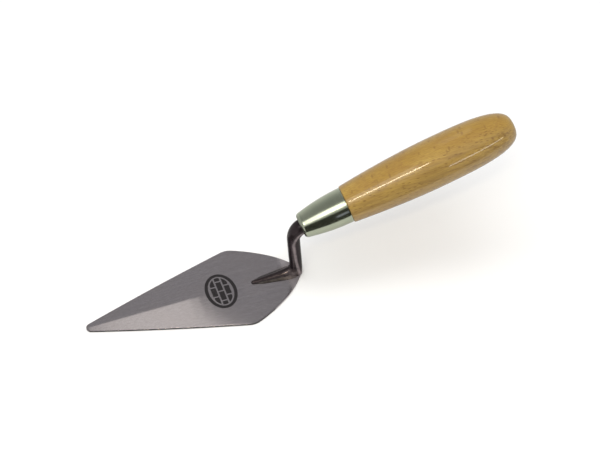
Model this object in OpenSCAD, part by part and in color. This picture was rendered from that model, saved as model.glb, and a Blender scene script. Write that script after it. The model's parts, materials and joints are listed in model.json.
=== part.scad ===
// Pointing trowel: a thin pointed steel blade, a forged gooseneck shank welded to its heel,
// and a turned beech handle held together by a drawn metal ferrule.
// Frame: +X runs from the blade's tip towards the handle, +Z up from the blade's underside,
// and the part is the same on both sides of the XZ plane.
// The origin is on the blade's underside, where the neck's centre line meets it.

/* [Blade] */
// Width across the shoulders, where the blade is widest
blade_w = 60; // [54:0.5:66]
// Thickness of the steel along the edge
blade_t = 1; // [0.8:0.1:1.6]
// Radius of the rounded tip
tip_r = 3; // [2.5:0.1:4.5]
// Direction of the long edge where it leaves the tip, in degrees from the X axis
tip_edge_angle = 18.75; // [18.5:0.05:19.5]
// Direction of the long edge where it reaches the shoulder
shoulder_edge_angle = 15.4; // [14.6:0.05:15.6]
// Radius of the shoulder
shoulder_r = 10.5; // [6:0.5:14]
// Direction of the heel edge just behind the shoulder
heel_front_angle = 24; // [20:1:28]
// Direction of the heel edge halfway to the neck
heel_middle_angle = 36; // [33:1:39]
// Direction of the heel edge where it reaches the neck
heel_back_angle = 58; // [55:1:61]
// Radius of the heel edge's front half
heel_front_r = 103; // [90:1:115]
// Radius of the heel's end, round the foot of the neck
heel_end_r = 4.3; // [3.5:0.1:5]
// Angle that each half of the blade's front is ground away from the middle ridge
ridge_angle = 2; // [1:0.1:3]
// Distance from the tip at which the ridge starts to flatten
ridge_flat_start = 58; // [45:1:70]
// Distance from the tip at which the blade's top is flat
ridge_flat_end = 97; // [85:1:98]

/* [Shank] */
// Distance from the blade's end forward to the neck's centre line
neck_inset = 2.8; // [2.6:0.1:3.4]
// Radius of the neck
neck_r = 3.75; // [3.5:0.05:4.2]
// Radius of the neck where it enters the ferrule
neck_top_r = 4.5; // [4.2:0.05:4.7]
// Lean of the neck towards the blade's tip, in degrees
neck_lean = 1.7; // [0:0.1:3]
// Height at which the neck starts to bend back
bend_start = 28.4; // [24:0.2:34]
// Radius of the bend, along its centre line
bend_r = 10; // [9.5:0.1:10.5]
// Length of the foot, forward from the neck's centre line
foot_length = 28.2; // [24:0.2:29]
// Width of the foot's rounded front end
foot_tip_w = 2.6; // [2:0.1:4]
// Width of the foot at the neck
foot_root_w = 9.6; // [9:0.2:9.8]
// Height of the foot's front end above the blade
foot_tip_h = 1.3; // [1:0.1:2]
// Height of the foot in front of the neck
foot_root_h = 4.2; // [3:0.1:5]
// Width of the weld beyond the side of the foot
weld_w = 1.3; // [0.8:0.1:2]
// Length of the tang inside the handle
tang_length = 76; // [50:1:90]
// Half width of the square tang at its thick end
tang_root = 3.1; // [2.8:0.1:3.2]
// Half width of the square tang at its thin end
tang_end = 1.5; // [1.2:0.1:2]

/* [Ferrule] */
// Length of the ferrule
ferrule_length = 29.5; // [26:0.5:34]
// Diameter just behind the ferrule's rounded front edge
ferrule_front_d = 15.6; // [15.4:0.1:16.4]
// Diameter at the ferrule's back edge
ferrule_back_d = 21.3; // [20.5:0.1:21.6]
// Thickness of the ferrule's wall
ferrule_wall = 0.8; // [0.5:0.1:1]
// Radius of the ferrule's rounded front edge
ferrule_edge_r = 2.8; // [1.6:0.1:3]
// Diameter of the hole that the neck passes through
ferrule_hole_d = 12; // [11.8:0.1:12.2]

/* [Handle] */
// Slope of the handle above the blade, in degrees
handle_angle = 15.6; // [12:0.2:20]
// Length of the ferrule and the handle together
grip_length = 136; // [125:1:150]
// Largest diameter of the handle
handle_d = 29; // [27:0.2:32]
// Diameter of the wood where it meets the ferrule
shoulder_d = 22.6; // [22.2:0.1:24]
// Distance from the ferrule's front to the handle's thickest part
belly_at = 83; // [75:1:90]

/* [Hidden] */
$fn = 96;

// Play left between the pieces that are pushed together
fit_gap = 0.05;

// The blade's edge as a chain of arcs, each turning from one heading to the next
edge_headings = [90, tip_edge_angle, shoulder_edge_angle, -heel_front_angle,
    -heel_middle_angle, -heel_back_angle, -90];
edge_steps = [8, 16, 10, 8, 10, 8];
// The long edge's radius brings the chain from the tip to the full width
edge_r = (blade_w / 2 - tip_r * cos(tip_edge_angle) - shoulder_r * (1 - cos(shoulder_edge_angle)))
    / (cos(shoulder_edge_angle) - cos(tip_edge_angle));
// The heel's back radius brings it from there to the middle line
heel_back_r = (blade_w / 2 - shoulder_r * (1 - cos(heel_front_angle))
    - heel_front_r * (cos(heel_front_angle) - cos(heel_middle_angle)) - heel_end_r * cos(heel_back_angle))
    / (cos(heel_middle_angle) - cos(heel_back_angle));
edge_radii = [tip_r, edge_r, shoulder_r, heel_front_r, heel_back_r, heel_end_r];

// Where an arc that starts at p and turns from heading a to heading b ends
function arc_end(p, r, a, b) = p + r * [sin(a) - sin(b), cos(b) - cos(a)];
function edge_knot(k) = k == 0 ? [0, 0]
    : arc_end(edge_knot(k - 1), edge_radii[k - 1], edge_headings[k - 1], edge_headings[k]);
// The edge as [distance from the tip, half width], without its two end points on the middle line
blade_edge = [
    for (k = [0:len(edge_radii) - 1])
        for (i = [1:edge_steps[k]])
            if (k < len(edge_radii) - 1 || i < edge_steps[k])
                arc_end(edge_knot(k), edge_radii[k], edge_headings[k],
                    edge_headings[k] + (edge_headings[k + 1] - edge_headings[k]) * i / edge_steps[k])
];
blade_length = edge_knot(len(edge_radii))[0];
tip_x = neck_inset - blade_length;

// The ridge fades out between the two given distances from the tip
function ease(t) = (1 - cos(180 * min(1, max(0, t)))) / 2;
function ridge_height(x, w) = w * tan(ridge_angle)
    * (1 - ease((x - ridge_flat_start) / (ridge_flat_end - ridge_flat_start)));

// The neck leans forward from the origin, then bends back to the handle's direction
neck_heading = 90 + neck_lean;
bend_entry = [-bend_start * tan(neck_lean), bend_start];
function bend_point(a) = arc_end(bend_entry, bend_r, neck_heading, a);
bend_exit = bend_point(handle_angle);
handle_dir = [cos(handle_angle), sin(handle_angle)];
// The ferrule's front stands this far ahead of the end of the bend
ferrule_lead = 3;
ferrule_front = bend_exit - ferrule_lead * handle_dir;

// How square a cross-section is: 2 is round, and more is squarer
round_section = 2;
forged_section = 2.4;
half_square_section = 3;
square_section = 10;
// Corner radius of a square section, as a share of its half width
square_corner = pow(2, 1 / 2 - 1 / square_section);
ring_points = 24;
foot_points = 12;

// The wood inside the ferrule starts this far behind the ferrule's front
spigot_start = 4;
// Depth of the wide mouth of the tang's hole
mouth_depth = 4;
mouth_d = 10.4;
// How far the holes' cutters run past what they cut
cut_past = 1;
// The tang is square from here back, and its last few millimetres run to a blunt point
tang_square_at = 4;
tang_point = 3;
tang_point_share = 0.33;

// Closed solid through rings of equal length, each turning anticlockwise seen from the next ring
module loft(rings) {
    n = len(rings[0]);
    last = (len(rings) - 1) * n;
    walls = [
        for (k = [0:len(rings) - 2])
            for (j = [0:n - 1])
                let (a = k * n + j, d = k * n + (j + 1) % n)
                    each [[a, a + n, d + n], [a, d + n, d]]
    ];
    caps = [[for (j = [0:n - 1]) j], [for (j = [n:-1:1]) last + j % n]];
    polyhedron([for (ring = rings) each ring], concat(walls, caps));
}

// Cross-section of the blade at p = [distance from the tip, half width]
function blade_ring(p) = [
    [tip_x + p[0], 0, blade_t + ridge_height(p[0], p[1])],
    [tip_x + p[0], -p[1], blade_t],
    [tip_x + p[0], -p[1], 0],
    [tip_x + p[0], p[1], 0],
    [tip_x + p[0], p[1], blade_t]
];

// Cross-section of the shank square to the heading, from round to square
function bar_ring(centre, heading, half_w, half_h, section) = [
    for (j = [0:ring_points - 1])
        let (
            a = 360 * j / ring_points,
            r = pow(pow(abs(cos(a)), section) + pow(abs(sin(a)), section), -1 / section),
            across = half_h * r * sin(a)
        )
        [centre[0] - across * sin(heading), half_w * r * cos(a), centre[1] + across * cos(heading)]
];

// Cross-section of the foot, a soft ridge that stands on the blade
function hump_ring(x, half_w, h) = [
    for (j = [0:foot_points])
        let (a = 180 * j / foot_points, c = cos(a))
        [x, half_w * sign(c) * pow(abs(c), 2 / foot_section), blade_t + h * pow(sin(a), 2 / foot_section)]
];

// Neck from the blade to the ferrule, wider at its foot where it spreads into the blade
neck_flare_h = 5;
neck_flare = 1.1;
// How far the neck's front and back are drawn in at the blade, so that it spreads sideways only
neck_sink = 0.35;
// Heights of the neck's rings, in flare heights
neck_heights = [0, 0.08, 0.18, 0.32, 0.5, 0.75, 1, 1.6, 2.6, 3.6];
neck_rings = [
    for (u = neck_heights)
        let (
            z = blade_t + u * neck_flare_h,
            spread = neck_flare * pow(1 - min(1, u), 2),
            sink = neck_sink * pow(1 - min(1, u), 2)
        )
        bar_ring([-z * tan(neck_lean) - sink, z], 90,
            neck_r + spread, neck_r - sink, forged_section)
];
bend_steps = 14;
// The neck has swelled to its top radius after this share of the bend
bend_swell_end = 0.83;
bend_rings = [
    for (i = [0:bend_steps])
        let (
            t = i / bend_steps,
            a = neck_heading + (handle_angle - neck_heading) * t,
            r = neck_r + (neck_top_r - neck_r) * ease(t / bend_swell_end)
        )
        bar_ring(bend_point(a), a, r, r, forged_section + (round_section - forged_section) * t)
];
// Tang: [distance behind the bend, half width, section]
tang_stations = [
    [tang_square_at / 2, (neck_top_r + tang_root) / 2, half_square_section],
    [tang_square_at, tang_root, square_section],
    [tang_length - tang_point, tang_end, square_section],
    [tang_length, tang_end * tang_point_share, square_section]
];
tang_rings = [
    for (s = tang_stations)
        bar_ring(bend_exit + s[0] * handle_dir, handle_angle, s[1], s[1], s[2])
];

// Foot: its height rises in a hollow curve into the front of the neck
foot_steps = 14;
foot_nose = 1.4;
foot_rise = 6;
foot_rise_power = 9;
foot_section = 1.5;
// The foot has its full height from here back, inside the neck
foot_full = 0.9;
function foot_half_w(t) = (foot_tip_w + (foot_root_w - foot_tip_w) * t) / 2;
function foot_height(t) = foot_tip_h + (foot_root_h - foot_tip_h) * t + foot_rise * pow(t, foot_rise_power);
// Rounds the foot's front end, as a share of full size
function nose(x) = sqrt(1 - pow(max(0, 1 - x / foot_nose), 2));
foot_nose_stations = [0.05, 0.25, 0.6, 1];
foot_stations = concat(foot_nose_stations,
    [for (i = [0:foot_steps]) foot_nose + (foot_length - foot_nose) * i / foot_steps]);
foot_rings = [
    for (x = foot_stations)
        let (t = x / foot_length, s = nose(x))
        hump_ring(x - foot_length, foot_half_w(t) * s, foot_height(min(t, foot_full)) * s)
];

// Weld: a hollow fillet along each side of the foot, ending where the blade narrows to the neck
weld_front = 1.8;
weld_back = 1.4;
weld_steps = 16;
weld_points = 5;
// How far up the foot's side the weld reaches, as an angle along its section
weld_reach = 42;
weld_gap = 0.05;
// Size of the weld's two ends, as a share of its full height and of its full width
weld_end_height = 0.3;
weld_end_width = 0.2;
// Place of the hollow's control point, as shares of the weld's width and height
weld_hollow = [0.15, 0.2];
// Share of its length over which the weld grows in, then that over which it fades, and how much
weld_grow = 0.2;
weld_fade = 0.15;
weld_fade_by = 0.8;
// Point on the foot's side above the blade, as [distance from the middle line, height]
function foot_side(t, a) = [
    weld_gap + foot_half_w(t) * pow(cos(a), 2 / foot_section),
    foot_height(min(t, foot_full)) * pow(sin(a), 2 / foot_section)
];
function weld_ring(x, swell) =
    let (
        t = x / foot_length,
        reach = weld_reach * (weld_end_height + (1 - weld_end_height) * swell),
        root = foot_side(t, 0),
        crest = foot_side(t, reach),
        toe = root + [weld_w * (weld_end_width + (1 - weld_end_width) * swell), 0],
        hollow = root + [weld_hollow[0] * weld_w, weld_hollow[1] * crest[1]],
        face = [for (i = [0:weld_points]) let (u = i / weld_points)
            pow(1 - u, 2) * toe + 2 * u * (1 - u) * hollow + u * u * crest],
        side = [for (i = [weld_points - 1:-1:0]) foot_side(t, reach * i / weld_points)]
    )
    [for (p = concat(face, side)) [x - foot_length, p[0], blade_t + p[1]]];
weld_rings = [
    for (i = [0:weld_steps])
        let (u = i / weld_steps)
        weld_ring(weld_front + (foot_length - weld_front - weld_back) * u,
            ease(u / weld_grow) * (1 - weld_fade_by * ease((u - 1 + weld_fade) / weld_fade)))
];

module blade() {
    color("slategray")
        loft([for (p = blade_edge) blade_ring(p)]);
}

module neck_and_tang() {
    loft(concat(neck_rings, bend_rings, tang_rings));
}

module foot() {
    loft(foot_rings);
}

module shank() {
    color("#2b2426") {
        union() {
            neck_and_tang();
            foot();
        }
    }
}

module weld_bead() {
    color("#6b5a50")
        for (side = [0, 1])
            mirror([0, side, 0])
                loft(weld_rings);
}

// Puts a shape that is turned about Z onto the handle's axis, with its start at the ferrule's front
module on_grip_axis() {
    translate([ferrule_front[0], 0, ferrule_front[1]])
        rotate([0, 90 - handle_angle, 0])
            children();
}

// Outer radius of the ferrule: a shallow outward bow between its front and back edges
ferrule_bow = 0.75;
function ferrule_outer(s) =
    let (t = (s - ferrule_edge_r) / (ferrule_length - ferrule_edge_r))
        ferrule_front_d / 2 + (ferrule_back_d - ferrule_front_d) / 2 * t + 4 * ferrule_bow * t * (1 - t);
ferrule_steps = 14;
// Distances from the ferrule's front at which its wall is drawn
function ferrule_stations(start) = [
    for (i = [0:ferrule_steps]) start + (ferrule_length - start) * i / ferrule_steps
];
edge_arc_steps = 8;

// Half of the ferrule's section: the rolled front edge, the outer wall and the inner wall
module ferrule_profile() {
    hole_r = ferrule_hole_d / 2;
    edge_centre = ferrule_outer(ferrule_edge_r) - ferrule_edge_r;
    // Where an arc of the rolled edge, of radius r, meets the hole
    function edge_depth(r) = ferrule_edge_r - sqrt(r * r - pow(max(0, hole_r - edge_centre), 2));
    outer_edge = [
        for (i = [0:edge_arc_steps - 1])
            let (a = 90 * i / edge_arc_steps)
            [edge_centre + ferrule_edge_r * sin(a), ferrule_edge_r * (1 - cos(a))]
    ];
    inner_edge = [
        for (i = [edge_arc_steps - 1:-1:0])
            let (a = 90 * i / edge_arc_steps, r = ferrule_edge_r - ferrule_wall)
            [edge_centre + r * sin(a), ferrule_edge_r - r * cos(a)]
    ];
    outer_wall = [for (s = ferrule_stations(ferrule_edge_r)) [ferrule_outer(s), s]];
    inner_wall = [
        for (i = [ferrule_steps:-1:0])
            let (s = ferrule_stations(ferrule_edge_r)[i])
            [ferrule_outer(s) - ferrule_wall, s]
    ];
    polygon(concat(
        [[hole_r, edge_depth(ferrule_edge_r - ferrule_wall)], [hole_r, edge_depth(ferrule_edge_r)]],
        [for (p = outer_edge) if (p[0] > hole_r + fit_gap) p],
        outer_wall, inner_wall,
        [for (p = inner_edge) if (p[0] > hole_r + fit_gap) p]));
}

module ferrule() {
    color("#b9bda6")
        on_grip_axis()
            rotate_extrude()
                ferrule_profile();
}

// Radius of the wood in front of its thickest part, and behind it down to the butt
front_power = 1.68;
butt_power = 3.25;
front_length = belly_at - ferrule_length;
butt_length = grip_length - belly_at;
function front_radius(s) = handle_d / 2
    - (handle_d - shoulder_d) / 2 * pow((belly_at - s) / front_length, front_power);
front_steps = 16;
butt_steps = 24;
// Rounding of the wood's edge against the ferrule
wood_edge_r = 0.5;
wood_edge_steps = 3;

module handle_profile() {
    joint = ferrule_length + fit_gap;
    spigot = [
        for (s = ferrule_stations(spigot_start))
            [ferrule_outer(s) - ferrule_wall - fit_gap, s]
    ];
    wood_edge = [
        for (i = [0:wood_edge_steps])
            let (a = 90 * i / wood_edge_steps)
            [shoulder_d / 2 - wood_edge_r * (1 - sin(a)), joint + wood_edge_r * (1 - cos(a))]
    ];
    front = [
        for (i = [1:front_steps])
            let (s = ferrule_length + front_length * i / front_steps)
            [front_radius(s), s]
    ];
    butt = [
        for (i = [1:butt_steps])
            let (a = 90 * i / butt_steps)
            [handle_d / 2 * pow(cos(a), 2 / butt_power), belly_at + butt_length * pow(sin(a), 2 / butt_power)]
    ];
    polygon(concat(
        [[0, spigot_start]], spigot,
        [[spigot[ferrule_steps][0], joint]],
        wood_edge, front, butt));
}

// Hole for the tang: a wide mouth for the end of the neck, then a taper that its corners bite into
module tang_hole() {
    taper_start = spigot_start + mouth_depth;
    taper_end = ferrule_lead + tang_length;
    translate([0, 0, spigot_start - cut_past])
        cylinder(d = mouth_d, h = mouth_depth + cut_past);
    translate([0, 0, taper_start])
        cylinder(h = taper_end - taper_start + cut_past,
            r1 = tang_root * square_corner + fit_gap,
            r2 = tang_end * square_corner + fit_gap);
}

module handle() {
    color("burlywood")
        on_grip_axis()
            difference() {
                rotate_extrude()
                    handle_profile();
                tang_hole();
            }
}

blade();
shank();
weld_bead();
ferrule();
handle();
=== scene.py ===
import math

import bmesh
import bpy
import numpy as np
from mathutils import Matrix, Vector
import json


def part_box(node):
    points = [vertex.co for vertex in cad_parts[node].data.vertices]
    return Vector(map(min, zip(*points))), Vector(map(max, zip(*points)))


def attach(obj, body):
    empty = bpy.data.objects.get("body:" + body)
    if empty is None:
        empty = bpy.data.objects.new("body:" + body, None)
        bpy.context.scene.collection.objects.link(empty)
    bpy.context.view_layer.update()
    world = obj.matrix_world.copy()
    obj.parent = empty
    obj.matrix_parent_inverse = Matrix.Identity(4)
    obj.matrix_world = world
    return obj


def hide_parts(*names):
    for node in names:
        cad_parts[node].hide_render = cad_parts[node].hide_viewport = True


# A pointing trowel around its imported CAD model: ground blade, forged shank, weld,
# plated ferrule and lacquered beech handle. Everything is in metres, in the CAD's frame.

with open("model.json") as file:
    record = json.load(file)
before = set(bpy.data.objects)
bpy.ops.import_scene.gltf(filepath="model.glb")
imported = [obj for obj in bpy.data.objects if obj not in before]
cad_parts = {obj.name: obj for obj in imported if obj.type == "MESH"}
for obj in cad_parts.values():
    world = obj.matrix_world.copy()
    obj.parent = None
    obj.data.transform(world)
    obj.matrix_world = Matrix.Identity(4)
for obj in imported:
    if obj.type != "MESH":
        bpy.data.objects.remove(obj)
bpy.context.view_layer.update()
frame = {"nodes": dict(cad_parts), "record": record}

MM = 0.001
BODY = "root"


# ---------------------------------------------------------------- driving sizes, from the frame

def mount(name):
    return next(m for m in frame["record"]["mounts"] if m["name"] == name)


def cad_points(node):
    mesh = frame["nodes"][node].data
    points = np.zeros(len(mesh.vertices) * 3)
    mesh.vertices.foreach_get("co", points)
    return points.reshape(-1, 3)


GRIP_DIR = Vector(mount("grip")["axis"]).normalized()
GRIP_POINT = Vector(mount("grip")["pos_m"])

# The grip, by distances from the ferrule's front and radii round its axis
FERRULE_LENGTH = 29.5 * MM
BELLY_AT = 83 * MM
GRIP_LENGTH = 136 * MM
HANDLE_R = 14.5 * MM
WOOD_FRONT_R = 11.3 * MM
FRONT_POWER = 1.68
BUTT_POWER = 3.25
BUTT_INSET = 0.05 * MM
FERRULE_FRONT_R = 7.8 * MM
FERRULE_BACK_R = 10.65 * MM
FERRULE_BOW = 0.75 * MM
FERRULE_WALL = 0.8 * MM
FERRULE_EDGE_R = 2.8 * MM
FERRULE_HOLE_R = 6 * MM
GRIP_START = GRIP_POINT - GRIP_DIR * BELLY_AT

# The tip of the shank's foot, which is its lowest X, and the blade's thickness at its edge
FOOT_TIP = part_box("shank")[0].x
EDGE_T = 1 * MM


def ease(t):
    """Smooth rise from 0 to 1, level at both ends."""
    t = min(1.0, max(0.0, t))
    return t * t * (3 - 2 * t)


# ---------------------------------------------------------------- mesh helpers

def mesh_object(name, verts, faces, smooth=True):
    mesh = bpy.data.meshes.new(name)
    mesh.from_pydata([tuple(v) for v in verts], [], faces)
    mesh.validate()
    work = bmesh.new()
    work.from_mesh(mesh)
    bmesh.ops.recalc_face_normals(work, faces=work.faces)
    work.to_mesh(mesh)
    work.free()
    mesh.polygons.foreach_set("use_smooth", [smooth] * len(mesh.polygons))
    mesh.update()
    piece = bpy.data.objects.new(name, mesh)
    bpy.context.scene.collection.objects.link(piece)
    return piece


def loft(name, rings):
    """Skin through rings of equal length, closed at both ends."""
    n = len(rings[0])
    verts = [p for ring in rings for p in ring]
    faces = []
    for k in range(len(rings) - 1):
        for j in range(n):
            a, b = k * n + j, k * n + (j + 1) % n
            faces.append((a, a + n, b + n, b))
    last = (len(rings) - 1) * n
    faces.append(tuple(range(n)))
    faces.append(tuple(last + j for j in reversed(range(n))))
    return mesh_object(name, verts, faces)


LATHE_SEGMENTS = 160
ON_AXIS = 1e-7


def lathe(name, profile):
    """Turns (distance along the grip, radius) points about the grip's axis, into a closed skin."""
    side = Vector((0, 1, 0))
    lift = GRIP_DIR.cross(side) * -1
    verts, faces, rows = [], [], []
    for s, r in profile:
        centre = GRIP_START + GRIP_DIR * s
        if r < ON_AXIS:
            rows.append([len(verts)] * LATHE_SEGMENTS)
            verts.append(centre)
            continue
        row = []
        for j in range(LATHE_SEGMENTS):
            a = 2 * math.pi * j / LATHE_SEGMENTS
            row.append(len(verts))
            verts.append(centre + (side * math.cos(a) + lift * math.sin(a)) * r)
        rows.append(row)
    pairs = list(zip(rows, rows[1:]))
    if profile[0][1] > ON_AXIS and profile[-1][1] > ON_AXIS:
        pairs.append((rows[-1], rows[0]))
    for low, high in pairs:
        for j in range(LATHE_SEGMENTS):
            k = (j + 1) % LATHE_SEGMENTS
            face = [low[j], low[k], high[k], high[j]]
            face = [v for i, v in enumerate(face) if v not in face[:i]]
            if len(face) > 2:
                faces.append(tuple(face))
    return mesh_object(name, verts, faces)


def finish_piece(piece, material, slot, *nodes):
    """Gives a piece its material and body, and hides the CAD nodes that it stands for; the slot is not used.
    """
    piece.data.materials.clear()
    piece.data.materials.append(material)
    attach(piece, BODY)
    if nodes:
        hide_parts(*nodes)


# ---------------------------------------------------------------- material helpers

class Shader:
    """A Principled material whose nodes are made by short calls."""

    def __init__(self, name, **sockets):
        self.material = bpy.data.materials.new(name)
        self.material.use_nodes = True
        self.tree = self.material.node_tree
        self.surface = self.tree.nodes["Principled BSDF"]
        for socket, value in sockets.items():
            self.set(socket.replace("_", " "), value)
        self.coords = self.node("ShaderNodeTexCoord").outputs["Object"]

    def node(self, kind, inputs=None, **settings):
        made = self.tree.nodes.new(kind)
        for key, value in settings.items():
            setattr(made, key, value)
        for key, value in (inputs or {}).items():
            self.plug(value, made.inputs[key])
        return made

    def plug(self, value, socket):
        if isinstance(value, bpy.types.NodeSocket):
            self.tree.links.new(value, socket)
        else:
            socket.default_value = value

    def set(self, socket, value):
        self.plug(value, self.surface.inputs[socket])

    def math(self, operation, a, b=0.0):
        return self.node("ShaderNodeMath", {0: a, 1: b}, operation=operation).outputs[0]

    def times(self, *factors):
        product = factors[0]
        for factor in factors[1:]:
            product = self.math("MULTIPLY", product, factor)
        return product

    def absolute(self, value):
        return self.math("ABSOLUTE", value)

    def parts(self, vector):
        return self.node("ShaderNodeSeparateXYZ", {"Vector": vector}).outputs

    def remap(self, value, low, high, to_low=0.0, to_high=1.0):
        """Smooth step from to_low, where value is low, to to_high, where it is high."""
        made = self.node("ShaderNodeMapRange", {"Value": value, "From Min": low, "From Max": high,
                                                "To Min": to_low, "To Max": to_high})
        made.interpolation_type = "SMOOTHSTEP"
        return made.outputs["Result"]

    def mix(self, factor, a, b):
        """The colour a where factor is 0, and b where it is 1."""
        made = self.node("ShaderNodeMix", data_type="RGBA")
        self.plug(factor, made.inputs[0])
        self.plug(a, made.inputs[6])
        self.plug(b, made.inputs[7])
        return made.outputs[2]

    def place(self, vector, location=(0, 0, 0), scale=(1, 1, 1)):
        inputs = {"Vector": vector, "Location": location, "Scale": scale}
        return self.node("ShaderNodeMapping", inputs).outputs["Vector"]

    def noise(self, vector, scale=1.0, detail=3.0, roughness=0.5):
        inputs = {"Vector": vector, "Scale": scale, "Detail": detail, "Roughness": roughness}
        return self.node("ShaderNodeTexNoise", inputs).outputs["Fac"]

    def grain(self, vector, per_metre, detail=3.0, roughness=0.5):
        """Noise with its own number of grains per metre along each axis."""
        return self.noise(self.place(vector, scale=per_metre), detail=detail, roughness=roughness)

    def bump(self, height, distance, strength=1.0, normal=None):
        inputs = {"Height": height, "Distance": distance, "Strength": strength}
        if normal is not None:
            inputs["Normal"] = normal
        return self.node("ShaderNodeBump", inputs).outputs["Normal"]


def rgb(r, g, b):
    return (r, g, b, 1.0)


GRIP_RISE = math.atan2(GRIP_DIR.z, GRIP_DIR.x)


def grip_coords(s):
    """Coordinates along the grip (X) and across it (Y, Z), from the ferrule's front."""
    inputs = {"Vector": s.coords, "Center": GRIP_START, "Angle": GRIP_RISE}
    level = s.node("ShaderNodeVectorRotate", inputs, rotation_type="Y_AXIS").outputs["Vector"]
    return s.place(level, location=-GRIP_START)


# ---------------------------------------------------------------- materials
# A noise lies mostly between 0.3 and 0.7, so a remap between two such levels sets its contrast.

def blade_steel():
    """Steel ground along its length, darker brown round the foot, and a dull skin behind it."""
    pale, dark, dashed = rgb(0.573, 0.536, 0.568), rgb(0.513, 0.475, 0.508), rgb(0.47, 0.432, 0.45)
    clouded, foot_brown, skinned = rgb(0.52, 0.47, 0.48), rgb(0.24, 0.185, 0.165), rgb(0.15, 0.135, 0.143)
    s = Shader("blade_steel")
    streaks = s.grain(s.coords, (45, 2600, 2600), roughness=0.6)
    scratches = s.grain(s.coords, (260, 5200, 5200), detail=2)
    dashes = s.grain(s.coords, (420, 1500, 1500), detail=2)
    cloud = s.noise(s.coords, scale=42)
    tone = s.mix(s.remap(streaks, 0.3, 0.72), dark, pale)
    tone = s.mix(s.remap(dashes, 0.35, 0.7, 0, 0.6), tone, dashed)
    tone = s.mix(s.remap(cloud, 0.3, 0.75, 0, 0.35), tone, clouded)

    # The darker brown round the foot widens from its tip back to the neck
    split = s.parts(s.coords)
    along = s.remap(split["X"], FOOT_TIP - 2 * MM, FOOT_TIP + 16 * MM)
    reach = s.remap(split["X"], FOOT_TIP, 0.0, 2.2 * MM, 9.5 * MM)
    across = s.math("DIVIDE", s.absolute(split["Y"]), reach)
    tint = s.times(along, s.remap(across, 0.35, 1.0, 1.0, 0.0))
    tone = s.mix(s.times(tint, 0.45), tone, foot_brown)

    # The skin is dull at the heel
    behind = s.remap(split["X"], -9 * MM, -2 * MM)
    dull = s.times(behind, s.remap(s.absolute(split["Y"]), 12 * MM, 22 * MM, 1.0, 0.0))
    skin = s.times(dull, 0.8)
    s.set("Base Color", s.mix(skin, tone, skinned))
    s.set("Metallic", s.math("SUBTRACT", 1.0, skin))
    polish = s.remap(streaks, 0.25, 0.8, 0.13, 0.18)
    s.set("Roughness", s.math("ADD", polish, s.times(dull, 0.45)))
    normal = s.bump(streaks, 0.0025 * MM, 0.16)
    s.set("Normal", s.bump(scratches, 0.002 * MM, 0.12, normal))
    return s.material


# The attribute that holds the painted highlight: how much of a pale metallic line up the neck each vertex
# takes
PAINTED_HIGHLIGHT_NAME = "painted_highlight"


def forged_steel():
    """Black lacquered forging, burnt beside the weld, where the burn is partly painted light, with a painted
    highlight line up the neck.
    """
    black, sooty = rgb(0.011, 0.008, 0.009), rgb(0.02, 0.0145, 0.016)
    burn_and_light_dark, burn_and_light_pale, painted_highlight_tone = rgb(0.05, 0.04, 0.039), rgb(0.135, 0.11, 0.11), rgb(0.31, 0.262, 0.27)
    s = Shader("forged_steel", Specular_IOR_Level=0.32, Specular_Tint=rgb(1.0, 0.86, 0.9))
    scale = s.noise(s.coords, scale=420, detail=5, roughness=0.6)
    patches = s.noise(s.coords, scale=95, detail=2)
    tone = s.mix(s.remap(patches, 0.35, 0.7), black, sooty)

    # The lacquer is burnt off low on the sides, most of all at the root of the neck. This patch is partly
    # painted light: its pale tone stands in for the lit near side of the foot and the neck's root.
    split = s.parts(s.coords)
    side = s.remap(s.absolute(split["Y"]), 0.3 * MM, 1.6 * MM)
    root = s.remap(split["X"], -13 * MM, -3 * MM, 0.3, 1.0)
    ragged_height = s.math("ADD", split["Z"], s.times(scale, 2.5 * MM))
    low = s.remap(ragged_height, 4.5 * MM, 8.5 * MM, 1.0, 0.0)
    burn_and_painted_light = s.times(side, root, low)
    tone = s.mix(burn_and_painted_light, tone, s.mix(s.remap(scale, 0.35, 0.65), burn_and_light_dark, burn_and_light_pale))

    # A painted highlight: a pale, half-metallic line up the neck, along the course of its highlight.
    line = s.node("ShaderNodeAttribute", attribute_name=PAINTED_HIGHLIGHT_NAME).outputs["Fac"]
    painted_highlight = s.times(line, s.remap(scale, 0.36, 0.58, 0.5, 1.0))
    s.set("Base Color", s.mix(painted_highlight, tone, painted_highlight_tone))
    s.set("Metallic", s.times(s.math("MAXIMUM", burn_and_painted_light, painted_highlight), 0.5))
    s.set("Roughness", s.remap(scale, 0.3, 0.7, 0.12, 0.24))
    s.set("Normal", s.bump(scale, 0.03 * MM, 0.3))
    return s.material


def weld_metal():
    """Brown, rough weld, paler at the root of the neck."""
    dark, brown, root_brown = rgb(0.042, 0.037, 0.035), rgb(0.085, 0.076, 0.073), rgb(0.15, 0.125, 0.122)
    s = Shader("weld_metal", Metallic=0.8)
    grit = s.noise(s.coords, scale=600, detail=4)
    tone = s.mix(s.remap(grit, 0.3, 0.7), dark, brown)
    at_root = s.remap(s.parts(s.coords)["X"], -12 * MM, -3 * MM)
    s.set("Base Color", s.mix(at_root, tone, root_brown))
    s.set("Roughness", s.remap(grit, 0.3, 0.7, 0.34, 0.5))
    s.set("Normal", s.bump(grit, 0.06 * MM, 0.3))
    return s.material


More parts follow.
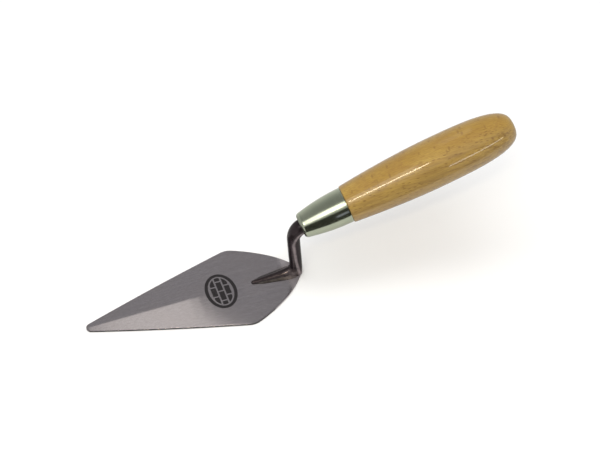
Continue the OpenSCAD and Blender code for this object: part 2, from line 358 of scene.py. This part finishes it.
def plated_steel():
    """Yellowish plating with faint turning marks, and painted shade in the front of the roll in place of its
    reflection.
    """
    dark, pale, roll_painted_shade = rgb(0.555, 0.605, 0.46), rgb(0.6, 0.645, 0.495), rgb(0.13, 0.135, 0.11)
    s = Shader("plated_steel", Metallic=1.0)
    grip = grip_coords(s)
    rings = s.grain(grip, (5200, 60, 60), detail=2)
    cloud = s.noise(grip, scale=120)
    tone = s.mix(s.remap(cloud, 0.3, 0.7), dark, pale)
    # Painted shade: the front of the roll is darkened in place of its reflection.
    in_roll = s.remap(s.parts(grip)["X"], 0.3 * MM, 1.9 * MM, 0.7, 0.0)
    s.set("Base Color", s.mix(in_roll, tone, roll_painted_shade))
    s.set("Roughness", s.remap(rings, 0.3, 0.7, 0.16, 0.22))
    s.set("Normal", s.bump(rings, 0.01 * MM, 0.1))
    return s.material


# How far the board's grain leans from the grip's axis, and how the board's width lies across the grip
GRAIN_SLANT = math.radians(-9)
ACROSS_Y, ACROSS_Z = 0.75, 0.66


def board_coords(s, grip):
    """Coordinates of the board that the handle was turned from: along its grain, across it and into it."""
    split = s.parts(grip)
    across = s.math("ADD", s.times(split["Y"], ACROSS_Y), s.times(split["Z"], ACROSS_Z))
    depth = s.math("ADD", s.times(split["Y"], -ACROSS_Z), s.times(split["Z"], ACROSS_Y))
    run = s.math("ADD", s.times(split["X"], math.cos(GRAIN_SLANT)), s.times(across, math.sin(GRAIN_SLANT)))
    cut = s.math("SUBTRACT", s.times(across, math.cos(GRAIN_SLANT)),
                 s.times(split["X"], math.sin(GRAIN_SLANT)))
    return s.node("ShaderNodeCombineXYZ", {"X": run, "Y": cut, "Z": depth}).outputs[0], across


def growth_rings(s, board):
    """Long ovals where the turning cuts the rings flat; their middle is outside the wood."""
    ringed = s.place(board, location=(0, 14 * MM, 30 * MM), scale=(0.16, 1, 1))
    inputs = {"Vector": ringed, "Scale": 95.0, "Distortion": 3.0, "Detail": 3.0, "Detail Scale": 1.2,
              "Detail Roughness": 0.6}
    return s.node("ShaderNodeTexWave", inputs, wave_type="RINGS", rings_direction="X",
                  wave_profile="SAW").outputs["Fac"]


FLECK_FADE = 0.7


def flecks(s, board, per_metre, near, far, share, offset=(0, 0, 0)):
    """Dashes in a share of the cells of a pattern, solid out to near and gone at far."""
    inputs = {"Vector": s.place(board, location=offset, scale=per_metre), "Scale": 1.0, "Randomness": 1.0}
    cells = s.node("ShaderNodeTexVoronoi", inputs, feature="F1").outputs
    dash = s.remap(cells["Distance"], near, far, 1.0, 0.0)
    draw = s.node("ShaderNodeSeparateColor", {"Color": cells["Color"]}).outputs[0]
    return s.times(dash, s.remap(draw, 1 - share, 1 - share * FLECK_FADE))


def beech():
    """Lacquered beech with growth rings, a darker band along its near side, and ray flecks."""
    honey_dark, honey_pale = rgb(0.36, 0.213, 0.031), rgb(0.465, 0.303, 0.061)
    ring_brown, fibre_brown = rgb(0.31, 0.165, 0.035), rgb(0.27, 0.145, 0.028)
    band_pale, band_dark = rgb(0.37, 0.235, 0.058), rgb(0.22, 0.124, 0.03)
    fleck_brown, smudge_brown = rgb(0.17, 0.083, 0.015), rgb(0.22, 0.115, 0.02)
    s = Shader("beech", Coat_Weight=1.0, Coat_Roughness=0.07)
    grip = grip_coords(s)
    board, across = board_coords(s, grip)
    cloud = s.grain(grip, (22, 110, 110), detail=4, roughness=0.55)
    fibre = s.grain(board, (130, 2600, 2600), detail=4, roughness=0.62)
    figure = s.grain(board, (60, 700, 700), roughness=0.6)
    tone = s.mix(s.remap(cloud, 0.3, 0.72), honey_dark, honey_pale)
    tone = s.mix(s.remap(growth_rings(s, board), 0.3, 1.0, 0, 0.3), tone, ring_brown)
    tone = s.mix(s.remap(fibre, 0.36, 0.66, 0, 0.75), tone, fibre_brown)

    # The darker band, which wanders with the clouds and grows towards the butt
    wander = s.math("ADD", across, s.times(s.math("SUBTRACT", cloud, 0.5), 12 * MM))
    growth = s.remap(s.parts(grip)["X"], 55 * MM, 110 * MM, 0.55, 1.15)
    band = s.times(s.remap(wander, -2.5 * MM, 2.5 * MM, 1.0, 0.0), growth)
    tone = s.mix(s.times(band, 0.6), tone, band_pale)
    tone = s.mix(s.times(band, s.remap(figure, 0.42, 0.66, 0, 0.66)), tone, band_dark)

    # Short ray flecks along the grain, thickest in the band and beside it
    beside = s.remap(wander, 1.5 * MM, 7 * MM, 1.0, 0.12)
    crowd = s.remap(s.grain(grip, (40, 150, 150), detail=2), 0.36, 0.6, 0.25, 1.0)
    dashes = s.times(flecks(s, board, (300, 1150, 1150), 0.2, 0.42, 0.6), beside, crowd)
    tone = s.mix(s.times(dashes, 0.7), tone, fleck_brown)
    # and broad smudges where the rays are cut flat, on the far side
    broad = flecks(s, board, (520, 260, 260), 0.2, 0.5, 0.16, offset=(0.3, 0.1, 0.2))
    smudges = s.times(broad, s.remap(across, -1 * MM, 3 * MM))
    s.set("Base Color", s.mix(s.times(smudges, 0.65), tone, smudge_brown))
    s.set("Roughness", s.remap(fibre, 0.3, 0.7, 0.4, 0.55))
    s.set("Normal", s.bump(fibre, 0.03 * MM, 0.12))
    ripple = s.grain(grip, (90, 420, 420), detail=2)
    s.set("Coat Normal", s.bump(ripple, 0.03 * MM, 0.25))
    return s.material


def mark_ink():
    """Black ink, worn grey in specks."""
    black, worn = rgb(0.014, 0.012, 0.013), rgb(0.09, 0.085, 0.085)
    s = Shader("mark_ink", Roughness=0.5, Specular_IOR_Level=0.4)
    wear = s.noise(s.coords, scale=900, detail=4, roughness=0.65)
    s.set("Base Color", s.mix(s.remap(wear, 0.55, 0.8, 0, 0.5), black, worn))
    s.set("Normal", s.bump(wear, 0.02 * MM, 0.2))
    return s.material


# ---------------------------------------------------------------- blade

SAME_PLACE = 1e-6
PLACE_DIGITS = 7


def blade_stations():
    """The CAD blade's edge and ridge: distance along X, half width, and ridge height over the edge."""
    points = cad_points("blade")
    stations = sorted(set(round(x, PLACE_DIGITS) for x in points[:, 0]))
    half, ridge = [], []
    for x in stations:
        here = points[abs(points[:, 0] - x) < SAME_PLACE]
        half.append(here[:, 1].max())
        ridge.append(here[:, 2].max() - EDGE_T)
    return np.array(stations), np.array(half), np.array(ridge)


EDGE_X, EDGE_HALF, EDGE_RIDGE = blade_stations()


def half_width(x):
    return float(np.interp(x, EDGE_X, EDGE_HALF))


def ridge_height(x):
    return float(np.interp(x, EDGE_X, EDGE_RIDGE))


RIDGE_SOFT = 0.5 * MM
RIDGE_SOFT_SHARE = 0.3


def top_height(x, y):
    """Height of the blade's ground top: two flats that meet in a soft ridge."""
    half = half_width(x)
    soft = min(RIDGE_SOFT, half * RIDGE_SOFT_SHARE)
    away = math.hypot(y, soft) - soft
    return EDGE_T + ridge_height(x) * max(0.0, 1 - away / (half - soft))


# The blade's rounded edge, and how finely its ring and its length are divided
ROUND_R = 0.14 * MM
ROUND_STEPS = 4
TOP_STEPS = 48
UNDER_STEPS = 8
LENGTH_STEP = 1.2 * MM


def blade_ring(x):
    half = half_width(x)
    r = min(ROUND_R, half / 2)
    flat = half - r
    upper = [(y, top_height(x, y)) for y in np.linspace(flat, -flat, TOP_STEPS + 1)]
    edge = []
    for k in range(1, ROUND_STEPS + 1):
        a = math.pi / 2 * (1 - k / ROUND_STEPS)
        edge.append((-flat - r * math.cos(a), EDGE_T - r + r * math.sin(a)))
    for k in range(ROUND_STEPS + 1):
        a = -math.pi / 2 * k / ROUND_STEPS
        edge.append((-flat - r * math.cos(a), r + r * math.sin(a)))
    under = [(y, 0.0) for y in np.linspace(-flat, flat, UNDER_STEPS + 1)[1:-1]]
    other = [(-y, z) for y, z in reversed(edge)]
    return [(x, y, z) for y, z in upper + edge + under + other]


def blade_piece():
    stops = []
    for a, b in zip(EDGE_X, EDGE_X[1:]):
        count = max(1, int(math.ceil((b - a) / LENGTH_STEP)))
        stops += [a + (b - a) * i / count for i in range(count)]
    stops.append(EDGE_X[-1])
    return loft("blade_ground", [blade_ring(x) for x in stops])


# ---------------------------------------------------------------- printed mark, a plain generic badge

MARK_X = -46.6 * MM
MARK_HALF_X = 9.3 * MM
MARK_HALF_Y = 13.6 * MM
MARK_LINE = 2.0 * MM
MARK_JOINT = 0.95 * MM
BRICK_WIDE = 3.1 * MM
BRICK_LONG = 6.6 * MM
INK_T = 0.03 * MM
# Bricks in each course, by their places from the middle one; every other course is shifted by half a brick
COURSES = {-1: (-1, 0, 1), 0: (-1.5, -0.5, 0.5, 1.5), 1: (-1, 0, 1)}
OVAL_STEPS = 120
LINE_STEPS = 4
BRICK_STEPS = 12
COURSE_STEPS = 8
FEWEST_ROWS = 4


def ink_patch(grid, verts, faces, ring=False):
    """Adds a thin layer of ink on the blade, through rows of (x, y) points; the rows may close in a ring."""
    m, n, base = len(grid), len(grid[0]), len(verts)
    for lift in (INK_T, -INK_T):
        verts += [(x, y, top_height(x, y) + lift) for row in grid for x, y in row]

    def at(k, j, side):
        return base + side * m * n + (k % m) * n + j

    for k in range(m if ring else m - 1):
        for j in range(n - 1):
            for side in (0, 1):
                faces.append((at(k, j, side), at(k, j + 1, side), at(k + 1, j + 1, side), at(k + 1, j, side)))
    inner, outer = [(k, 0) for k in range(m)], [(k, n - 1) for k in range(m)]
    rims = [inner, outer]
    if not ring:
        ends = [(m - 1, j) for j in range(1, n - 1)], [(0, j) for j in range(n - 2, 0, -1)]
        rims = [inner + ends[0] + outer[::-1] + ends[1]]
    for rim in rims:
        for (k, j), (kk, jj) in zip(rim, rim[1:] + rim[:1]):
            faces.append((at(k, j, 0), at(kk, jj, 0), at(kk, jj, 1), at(k, j, 1)))


def oval_reach(dx, inset):
    """Half the length of the badge at dx from its middle, inside a border as wide as inset."""
    share = dx / (MARK_HALF_X - inset)
    return (MARK_HALF_Y - inset) * math.sqrt(max(0.0, 1 - share * share))


def oval_line():
    """Rows of points across the badge's border, all the way round."""
    rows = []
    for i in range(OVAL_STEPS):
        a = 2 * math.pi * i / OVAL_STEPS
        rows.append([(MARK_X + (MARK_HALF_X - w) * math.cos(a), (MARK_HALF_Y - w) * math.sin(a))
                     for w in np.linspace(0, MARK_LINE, LINE_STEPS + 1)])
    return rows


def brick_rows(course, place):
    """Rows of points through one brick, cut off by the oval."""
    middle = place * (BRICK_LONG + MARK_JOINT)
    shift = course * (BRICK_WIDE + MARK_JOINT)
    rows = []
    for dx in np.linspace(-BRICK_WIDE / 2, BRICK_WIDE / 2, COURSE_STEPS + 1) + shift:
        reach = oval_reach(dx, MARK_LINE + MARK_JOINT)
        low, high = max(middle - BRICK_LONG / 2, -reach), min(middle + BRICK_LONG / 2, reach)
        if high - low > MARK_JOINT:
            rows.append([(MARK_X + dx, y) for y in np.linspace(low, high, BRICK_STEPS + 1)])
    return rows


def mark_piece():
    """A plain badge: an oval line round courses of brickwork."""
    verts, faces = [], []
    ink_patch(oval_line(), verts, faces, ring=True)
    for course, places in COURSES.items():
        for place in places:
            rows = brick_rows(course, place)
            if len(rows) >= FEWEST_ROWS:
                ink_patch(rows, verts, faces)
    return mesh_object("printed_mark", verts, faces, smooth=False)


# ---------------------------------------------------------------- shank and weld

SMOOTH_FACTOR = 0.5


def remeshed(name, node, voxel, passes, swell=0.0):
    """A smooth copy of a CAD node: its facets are melted together, as a forging's or a weld's are."""
    piece = frame["nodes"][node].copy()
    piece.data = frame["nodes"][node].data.copy()
    for key in list(piece.keys()):
        del piece[key]
    piece.parent = None
    piece.name = name
    piece.data.name = name
    bpy.context.scene.collection.objects.link(piece)
    remesh = piece.modifiers.new("melt", "REMESH")
    remesh.mode = "VOXEL"
    remesh.voxel_size = voxel
    smooth = piece.modifiers.new("smooth", "SMOOTH")
    smooth.iterations = passes
    smooth.factor = SMOOTH_FACTOR
    if swell:
        grow = piece.modifiers.new("swell", "DISPLACE")
        grow.mid_level = 0.0
        grow.strength = swell
    shape = bpy.data.meshes.new_from_object(
        piece.evaluated_get(bpy.context.evaluated_depsgraph_get()))
    piece.modifiers.clear()
    piece.data = shape
    shape.name = name
    shape.polygons.foreach_set("use_smooth", [True] * len(shape.polygons))
    return piece


# Where the foot runs into the neck in a hollow
HOLLOW = Vector((-3.5, 0, 6)) * MM
HOLLOW_REACH = 9 * MM
HOLLOW_PASSES = 60
HOLLOW_PULL = 0.6
HOLLOW_FADE = 1.6


def soften(mesh, centre, reach, passes):
    """Melts the mesh near one point, so that what meets there runs together in a hollow."""
    work = bmesh.new()
    work.from_mesh(mesh)
    near = []
    for vertex in work.verts:
        share = 1 - (vertex.co - centre).length / reach
        if share > 0:
            near.append((vertex, ease(share * HOLLOW_FADE)))
    for _ in range(passes):
        moved = []
        for vertex, weight in near:
            others = [edge.other_vert(vertex).co for edge in vertex.link_edges]
            moved.append((vertex, sum(others, Vector()) / len(others), weight))
        for vertex, target, weight in moved:
            vertex.co += (target - vertex.co) * HOLLOW_PULL * weight
    work.to_mesh(mesh)
    work.free()


# The painted highlight's line on the side of the neck, in the XZ plane: from the root past its waist, then
# round the inside of the bend in an arc
HIGHLIGHT_ROOT = Vector((1.2, 0.5)) * MM
HIGHLIGHT_WAIST = Vector((-0.9, 12.6)) * MM
HIGHLIGHT_BEND_CENTRE = Vector((9.6, 25.8)) * MM
HIGHLIGHT_BEND_R = 11.5 * MM
HIGHLIGHT_BEND_TURN = math.radians(84)
HIGHLIGHT_BEND_STEPS = 8
HIGHLIGHT_HALF_WIDTH = 1.3 * MM
HIGHLIGHT_FADE = 1.2 * MM
# Only where the skin faces sideways: the normal's Y at which the line starts, and over which it grows
HIGHLIGHT_SIDE = 0.2
HIGHLIGHT_SIDE_FADE = 0.3


def highlight_course():
    """Points along the painted highlight's line, from the root of the neck to the ferrule."""
    turns = [HIGHLIGHT_BEND_TURN * i / HIGHLIGHT_BEND_STEPS for i in range(HIGHLIGHT_BEND_STEPS + 1)]
    bend = [HIGHLIGHT_BEND_CENTRE + Vector((-math.cos(a), math.sin(a))) * HIGHLIGHT_BEND_R for a in turns]
    return [HIGHLIGHT_ROOT, HIGHLIGHT_WAIST] + bend


def closest(point, a, b):
    """The point of the line from a to b that is nearest to another point."""
    share = (point - a).dot(b - a) / (b - a).length_squared
    return a + (b - a) * min(1.0, max(0.0, share))


def paint_highlight(mesh):
    """Marks how much of the painted highlight each vertex takes, for the forged steel's material."""
    course = highlight_course()
    shares = []
    for vertex in mesh.vertices:
        here = Vector((vertex.co.x, vertex.co.z))
        away = min((here - closest(here, a, b)).length for a, b in zip(course, course[1:]))
        sideways = ease((abs(vertex.normal.y) - HIGHLIGHT_SIDE) / HIGHLIGHT_SIDE_FADE)
        shares.append(ease((HIGHLIGHT_HALF_WIDTH - away) / HIGHLIGHT_FADE) * sideways)
    mesh.attributes.new(PAINTED_HIGHLIGHT_NAME, "FLOAT", "POINT").data.foreach_set("value", shares)


def shank_piece():
    piece = remeshed("shank_forging", "shank", voxel=0.28 * MM, passes=10)
    soften(piece.data, HOLLOW, HOLLOW_REACH, HOLLOW_PASSES)
    paint_highlight(piece.data)
    return piece


def keep_largest(mesh, count):
    """Drops the crumbs that melting leaves where a piece runs out thinner than a voxel."""
    work = bmesh.new()
    work.from_mesh(mesh)
    unseen = set(work.verts)
    parts = []
    while unseen:
        part, front = set(), [unseen.pop()]
        while front:
            vertex = front.pop()
            part.add(vertex)
            for edge in vertex.link_edges:
                other = edge.other_vert(vertex)
                if other in unseen:
                    unseen.discard(other)
                    front.append(other)
        parts.append(part)
    parts.sort(key=len, reverse=True)
    crumbs = [vertex for part in parts[count:] for vertex in part]
    bmesh.ops.delete(work, geom=crumbs, context="VERTS")
    work.to_mesh(mesh)
    work.free()


FILLETS = 2


def weld_piece():
    """A fillet along each side of the foot."""
    piece = remeshed("weld_fillet", "weld_bead", voxel=0.14 * MM, passes=4, swell=0.05 * MM)
    keep_largest(piece.data, FILLETS)
    return piece


# ---------------------------------------------------------------- ferrule and handle

def ferrule_radius(s):
    """The ferrule's outer radius behind its roll: a taper with a slight bow."""
    t = (s - FERRULE_EDGE_R) / (FERRULE_LENGTH - FERRULE_EDGE_R)
    return FERRULE_FRONT_R + (FERRULE_BACK_R - FERRULE_FRONT_R) * t + 4 * FERRULE_BOW * t * (1 - t)


def wood_radius(s):
    """The wood's radius between the ferrule and the belly."""
    t = (BELLY_AT - s) / (BELLY_AT - FERRULE_LENGTH)
    return HANDLE_R - (HANDLE_R - WOOD_FRONT_R) * t ** FRONT_POWER


def arc(centre_s, centre_r, radius, start, stop, steps):
    """Points on a quarter turn of the profile, with the angle counted from the grip's front."""
    points = []
    for i in range(steps + 1):
        a = math.radians(start + (stop - start) * i / steps)
        points.append((centre_s - radius * math.cos(a), centre_r + radius * math.sin(a)))
    return points


# The ferrule's cut back edge, and how far its inside is held off the pieces that pass it
FERRULE_LIP = 0.15 * MM
FERRULE_STEPS = 60
ROLL_STEPS = 40
MOUTH_CLEARANCE = 0.1 * MM
PLAY = 0.05 * MM


def ferrule_piece():
    """A drawn cup with a rolled front, from its hole over its outside and back along its inside."""
    roll_r = FERRULE_FRONT_R - FERRULE_EDGE_R
    back = FERRULE_LENGTH
    back_r = ferrule_radius(back)
    stops = [FERRULE_EDGE_R + (back - FERRULE_EDGE_R) * i / FERRULE_STEPS for i in range(1, FERRULE_STEPS)]
    roll = arc(FERRULE_EDGE_R, roll_r, FERRULE_EDGE_R, 0, 90, ROLL_STEPS)
    outer = [p for p in roll if p[1] > FERRULE_HOLE_R]
    outer += [(s, ferrule_radius(s)) for s in stops]
    outer += [(back - FERRULE_LIP, back_r), (back, back_r - FERRULE_LIP)]
    inner = [(back, back_r - FERRULE_WALL + PLAY)]
    inner += [(s, ferrule_radius(s) - FERRULE_WALL) for s in reversed(stops)]
    rolled = arc(FERRULE_EDGE_R, roll_r, FERRULE_EDGE_R - FERRULE_WALL, 90, 0, ROLL_STEPS // 2)
    inner += [p for p in rolled if p[1] > FERRULE_HOLE_R + MOUTH_CLEARANCE]
    return lathe("ferrule_cup", outer + inner)


# The wood inside the ferrule: where it starts, and the wide mouth and narrow bottom of its hole
WOOD_MOUTH = 4 * MM
HOLE_MOUTH_R = 5.2 * MM
HOLE_STEP_AT = 8 * MM
HOLE_TOP_R = 3.8 * MM
HOLE_BOTTOM_R = 3.5 * MM
HOLE_BOTTOM_AT = 12 * MM
SHOULDER_R = 0.6 * MM
FRONT_FROM = 1.4 * SHOULDER_R
SPIGOT_STOPS = 12
SHOULDER_STEPS = 8
WOOD_STEPS = 90


def handle_piece():
    """The wood from its mouth inside the ferrule, over the spigot and the shoulder, to the butt."""
    joint = FERRULE_LENGTH + PLAY
    hole = [(HOLE_BOTTOM_AT, 0.0), (HOLE_BOTTOM_AT, HOLE_BOTTOM_R), (HOLE_STEP_AT, HOLE_TOP_R),
            (HOLE_STEP_AT, HOLE_MOUTH_R), (WOOD_MOUTH, HOLE_MOUTH_R)]
    spigot = [(s, ferrule_radius(s) - FERRULE_WALL - PLAY)
              for s in np.linspace(WOOD_MOUTH, joint, SPIGOT_STOPS)]
    shoulder = arc(joint + SHOULDER_R, WOOD_FRONT_R - SHOULDER_R, SHOULDER_R, 0, 90, SHOULDER_STEPS)
    front = [(s, wood_radius(s)) for s in np.linspace(joint + FRONT_FROM, BELLY_AT, WOOD_STEPS)]
    butt = []
    for i in range(1, WOOD_STEPS):
        a = math.pi / 2 * i / WOOD_STEPS
        s = BELLY_AT + (GRIP_LENGTH - BUTT_INSET - BELLY_AT) * math.sin(a) ** (2 / BUTT_POWER)
        butt.append((s, HANDLE_R * math.cos(a) ** (2 / BUTT_POWER)))
    butt.append((GRIP_LENGTH - BUTT_INSET, 0.0))
    return lathe("handle_turned", hole + spigot + shoulder + front + butt)


# ---------------------------------------------------------------- stage, lights and camera

# The camera's place and axes, at the photograph's angle
CAMERA_PLACE = Vector((-0.17830, -0.59356, 0.68810))
CAMERA_RIGHT = Vector((0.94567, -0.32364, -0.03104))
CAMERA_UP = Vector((0.25444, 0.67725, 0.69036))
CAMERA_BACK = Vector((-0.20241, -0.66075, 0.72280))
CAMERA_LENS = 93.75
CAMERA_SENSOR = 36.0
GRIP_OVER = CAMERA_BACK.cross(GRIP_DIR).normalized()
GRIP_MIDDLE = GRIP_START + GRIP_DIR * 50 * MM
BLADE_MIDDLE = Vector((-70, 0, 0)) * MM


def grip_direction(over, along):
    """A direction seen from the grip: turned over it from the camera's side, then towards its butt."""
    over, along = math.radians(over), math.radians(along)
    turned = CAMERA_BACK * math.cos(over) + GRIP_OVER * math.sin(over)
    return turned * math.cos(along) + GRIP_DIR * math.sin(along)


def sky_direction(elevation, azimuth):
    """A direction by its height over the floor and its turn from +Y towards +X."""
    elevation, azimuth = math.radians(elevation), math.radians(azimuth)
    level = Vector((math.sin(azimuth), math.cos(azimuth), 0))
    return level * math.cos(elevation) + Vector((0, 0, math.sin(elevation)))


def overhead_direction(lean_y, lean_x):
    """A direction by its lean from straight up, towards +Y and towards +X."""
    return Vector((math.tan(math.radians(lean_x)), math.tan(math.radians(lean_y)), 1)).normalized()


def facing(centre, target, upward):
    """A place at centre that faces the target, with its top towards upward."""
    back = (centre - target).normalized()
    right = upward.cross(back).normalized()
    placed = Matrix((right, back.cross(right), back)).transposed().to_4x4()
    placed.translation = centre
    return placed


def panel(name, direction, target, tall, wide, distance, radiance, tint=(1, 1, 1)):
    """A soft box that fills the given ranges of the two angles, as seen from its target."""
    middle = [(a + b) / 2 for a, b in (tall, wide)]
    centre = direction(*middle)
    upper = direction(tall[1], middle[1])
    side = direction(middle[0], wide[1])
    data = bpy.data.lights.new(name, "AREA")
    data.shape = "RECTANGLE"
    data.size = 2 * distance * math.tan(centre.angle(side))
    data.size_y = 2 * distance * math.tan(centre.angle(upper))
    data.energy = radiance * math.pi * data.size * data.size_y
    data.color = tint
    lamp = bpy.data.objects.new(name, data)
    lamp.matrix_world = facing(target + centre * distance, target, upper - centre)
    bpy.context.scene.collection.objects.link(lamp)
    return lamp


# Grey levels of the surroundings, from the horizon and below it to straight up
SKY_STOPS = ((0.0, 0.62), (0.4, 0.48), (0.68, 0.33), (0.85, 0.27), (1.0, 0.24))
NEW_STOP = 0.5


def world_sky():
    """Soft grey surroundings, paler towards the horizon."""
    world = bpy.data.worlds.new("studio")
    bpy.context.scene.world = world
    world.use_nodes = True
    tree = world.node_tree
    coords = tree.nodes.new("ShaderNodeTexCoord")
    split = tree.nodes.new("ShaderNodeSeparateXYZ")
    ramp = tree.nodes.new("ShaderNodeValToRGB")
    tree.links.new(coords.outputs["Generated"], split.inputs[0])
    tree.links.new(split.outputs["Z"], ramp.inputs["Fac"])
    while len(ramp.color_ramp.elements) < len(SKY_STOPS):
        ramp.color_ramp.elements.new(NEW_STOP)
    for element, (position, level) in zip(ramp.color_ramp.elements, SKY_STOPS):
        element.position = position
        element.color = rgb(level, level, level)
    tree.links.new(ramp.outputs["Color"], tree.nodes["Background"].inputs["Color"])


def card(name, dark, pale, cloud_scale):
    """A mottled matt material."""
    s = Shader(name, Roughness=0.9, Specular_IOR_Level=0.1)
    s.set("Base Color", s.mix(s.noise(s.coords, scale=cloud_scale, detail=2), rgb(*dark), rgb(*pale)))
    return s.material


PAPER_MOTTLE = 1.02


def paper(name, x, y, z, level):
    """A level sheet over the ranges x and y, with about the given grey level."""
    verts = [(x[0], y[0], z), (x[1], y[0], z), (x[1], y[1], z), (x[0], y[1], z)]
    sheet = mesh_object(name, verts, [(0, 1, 2, 3)], smooth=False)
    sheet.data.materials.append(card(name, [level] * 3, [level * PAPER_MOTTLE] * 3, cloud_scale=3))
    return sheet


def only_reflected(sheet):
    """Leaves a sheet or a lamp to be seen in glossy surfaces and nowhere else."""
    sheet.visible_camera = False
    sheet.visible_shadow = False
    sheet.visible_diffuse = False
    sheet.visible_transmission = False


# The dark card round the grip: its radius, first angle over the grip and turn, and its ends along the grip.
# Its two lamps are just inside it.
SHIELD_R = 28 * MM
SHIELD_FROM = -15
SHIELD_TURN = -52.4
SHIELD_ENDS = (-14 * MM, 145 * MM)
SHIELD_STEPS = 12
LAMP_R = SHIELD_R - 1.5 * MM


def dark_shield():
    """A dark curved card low along the grip's near side, for the dark band on its polished parts."""
    verts = []
    for i in range(SHIELD_STEPS + 1):
        over = SHIELD_FROM + SHIELD_TURN * i / SHIELD_STEPS
        verts += [GRIP_START + GRIP_DIR * s + grip_direction(over, 0) * SHIELD_R for s in SHIELD_ENDS]
    faces = [(2 * i, 2 * i + 1, 2 * i + 3, 2 * i + 2) for i in range(SHIELD_STEPS)]
    sheet = mesh_object("dark_shield", verts, faces)
    dark, pale = (0.04, 0.04, 0.036), (0.07, 0.07, 0.062)
    sheet.data.materials.append(card("shield_card", dark, pale, cloud_scale=30))
    return sheet


def grip_lamp(name, tall, stretch, radiance, tint=(1, 1, 1)):
    """A small lamp before the shield, seen only in what shines; stretch is along the grip in mm."""
    middle = GRIP_START + GRIP_DIR * (sum(stretch) / 2 * MM)
    lean = math.degrees(math.atan((stretch[1] - stretch[0]) / 2 * MM / LAMP_R))
    only_reflected(panel(name, grip_direction, middle, tall, (-lean, lean), LAMP_R, radiance, tint))


FLOOR_REACH = 4.0
FLOOR_Z = -0.2 * MM
FLOOR_LEVEL = 0.9
REFLECTED_FLOOR_Z = -0.18 * MM
REFLECTED_FLOOR_LEVEL = 0.56
APRON_LEVEL = 0.03


def floor():
    """The pale floor, with a greyer one and a dark sheet by the blade that are only reflected."""
    reach = (-FLOOR_REACH, FLOOR_REACH)
    ground = paper("floor", reach, reach, FLOOR_Z, FLOOR_LEVEL)
    ground.visible_glossy = False
    only_reflected(paper("floor_reflected", reach, reach, REFLECTED_FLOOR_Z, REFLECTED_FLOOR_LEVEL))
    apron_x, apron_y = (-160 * MM, -20 * MM), (-67 * MM, -2 * MM)
    only_reflected(paper("dark_apron", apron_x, apron_y, FLOOR_Z / 2, APRON_LEVEL))


def lamps():
    """Soft boxes for the long bands on the grip and the bright front facet of the blade, and a fill."""
    panel("key", grip_direction, GRIP_MIDDLE, tall=(-6, 24), wide=(-28, 3), distance=1.4, radiance=1.7,
          tint=(1.0, 0.98, 0.95))
    panel("strip", grip_direction, GRIP_MIDDLE, tall=(5.5, 8.9), wide=(-10.5, 5.4), distance=1.2, radiance=24,
          tint=(1.0, 0.86, 0.62))
    grip_lamp("low_strip", tall=(-35.4, -31.7), stretch=(92.5, 138), radiance=5.0)
    grip_lamp("low_window", tall=(-44, -33), stretch=(19.5, 29.5), radiance=0.25, tint=(0.95, 0.95, 1.3))
    panel("far_softbox", sky_direction, BLADE_MIDDLE, tall=(49.7, 74), wide=(-2, 16), distance=1.5,
          radiance=0.66, tint=(1.0, 0.975, 0.87))
    fill = panel("fill", overhead_direction, Vector((0, 0, 0)), tall=(-32, 32), wide=(-32, 32), distance=2.0,
                 radiance=2.1)
    fill.visible_glossy = False


def camera():
    data = bpy.data.cameras.new("camera")
    data.sensor_fit = "HORIZONTAL"
    data.sensor_width = CAMERA_SENSOR
    data.lens = CAMERA_LENS
    placed = bpy.data.objects.new("camera", data)
    placed.matrix_world = Matrix((CAMERA_RIGHT, CAMERA_UP, CAMERA_BACK)).transposed().to_4x4()
    placed.matrix_world.translation = CAMERA_PLACE
    bpy.context.scene.collection.objects.link(placed)
    bpy.context.scene.camera = placed


def studio():
    floor()
    world_sky()
    lamps()
    only_reflected(dark_shield())
    camera()
    bpy.context.scene.view_settings.view_transform = "Standard"


# ---------------------------------------------------------------- the trowel

studio()
finish_piece(blade_piece(), blade_steel(), "blade_steel", "blade")
finish_piece(shank_piece(), forged_steel(), "forged_steel", "shank")
finish_piece(weld_piece(), weld_metal(), "weld_metal", "weld_bead")
finish_piece(ferrule_piece(), plated_steel(), "plated_steel", "ferrule")
finish_piece(handle_piece(), beech(), "beech", "handle")
finish_piece(mark_piece(), mark_ink(), "blade_steel")
